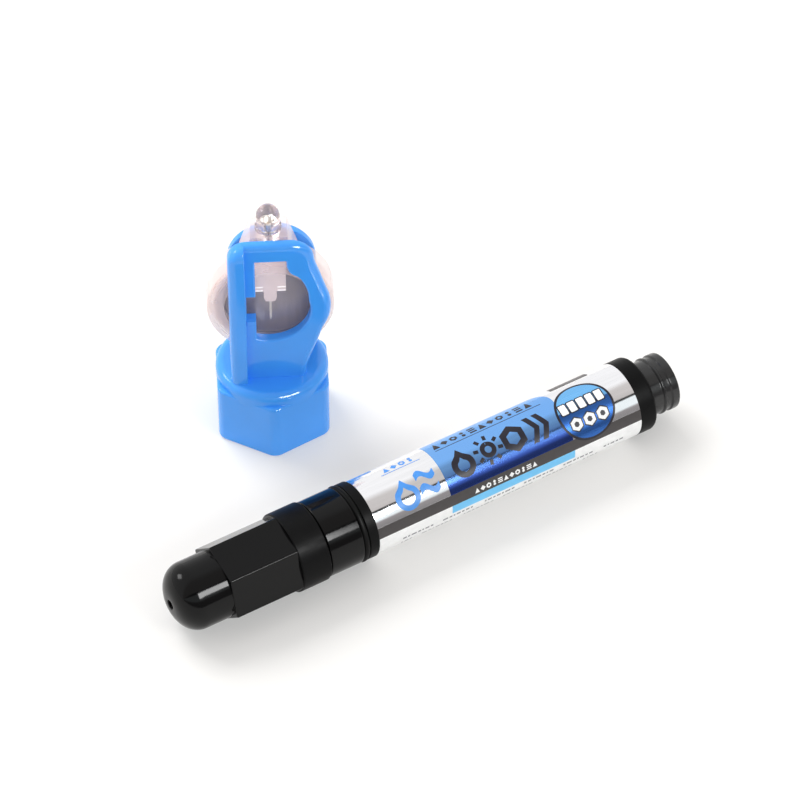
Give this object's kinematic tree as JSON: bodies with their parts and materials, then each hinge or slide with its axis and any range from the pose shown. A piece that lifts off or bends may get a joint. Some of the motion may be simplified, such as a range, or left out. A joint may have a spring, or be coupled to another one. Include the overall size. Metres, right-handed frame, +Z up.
{
  "type": "glue applicator bottle",
  "caption": "Slim squeeze tube of light-cure glue with a needle under its hexagonal cap, lying beside a stand-up light cap that holds a clear squeeze light.",
  "frame": {"origin": "on the table under the middle of the set: pen lying down and light cap standing behind it", "axes": "+X along the pen from its closed cap towards its tail spigot, +Y from the pen towards the light cap, +Z up"},
  "size_m": [0.124, 0.0652, 0.0621],
  "materials": {
    "tube_black": "satin black soft plastic",
    "foil_label": "metallised film printed in blue, white and dark grey",
    "tail_black": "satin moulded black",
    "collar_black": "polished black",
    "band_rubber": "dark rubber",
    "cap_black": "glossy moulded black",
    "seal_grey": "soft grey rubber",
    "hub_white": "natural white plastic",
    "needle_steel": "drawn steel tube",
    "holder_blue": "glossy azure blue moulding",
    "clear_shell": "clear plastic with a faint pink cast",
    "lamp_clear": "clear epoxy",
    "lead_metal": "tinned wire",
    "die_gold": "gold",
    "guide_clear": "clear moulded plastic",
    "ring_clear": "clear moulded plastic",
    "cell_steel": "nickel-plated steel",
    "cell_seal_dark": "dark sealing ring"
  },
  "bodies": {
    "pen": {"squeeze_tube": "tube_black", "label_film": "foil_label", "tail_plug": "tail_black", "neck_collar": "collar_black", "collar_o_ring": "band_rubber", "nozzle_gasket": "seal_grey", "nozzle_hub": "hub_white", "needle_tube": "needle_steel"},
    "cap": {"cap_shell": "cap_black", "needle_seal": "seal_grey"},
    "light_cap": {"light_holder": "holder_blue"},
    "squeeze_light": {"light_shell_front": "clear_shell", "light_shell_back": "clear_shell", "lamp_lens": "lamp_clear", "anode_lead": "lead_metal", "cathode_lead": "lead_metal", "lamp_die": "die_gold", "lead_guide": "guide_clear", "cell_ring": "ring_clear", "front_cell_can": "cell_steel", "front_cell_lid": "cell_steel", "front_cell_seal": "cell_seal_dark", "back_cell_can": "cell_steel", "back_cell_lid": "cell_steel", "back_cell_seal": "cell_seal_dark"},
    "press_pad": {"press_pad": "clear_shell"}
  },
  "joints": [
    {"name": "cap_pull", "type": "slide", "parent": "pen", "child": "cap", "axis": [-1, 0, 0], "range_m": [0, 0.04]},
    {"name": "light_cap_lift", "type": "slide", "parent": "pen", "child": "light_cap", "axis": [0, 0, 1], "range_m": [0, 0.03]},
    {"name": "light_slide_out", "type": "slide", "parent": "light_cap", "child": "squeeze_light", "axis": [0, 0, 1], "range_m": [0, 0.034]},
    {"name": "switch_press", "type": "slide", "parent": "squeeze_light", "child": "press_pad", "axis": [0.4741, 0.8805, 0], "range_m": [0, 0.00045], "stiffness_N_per_m": 400}
  ]
}
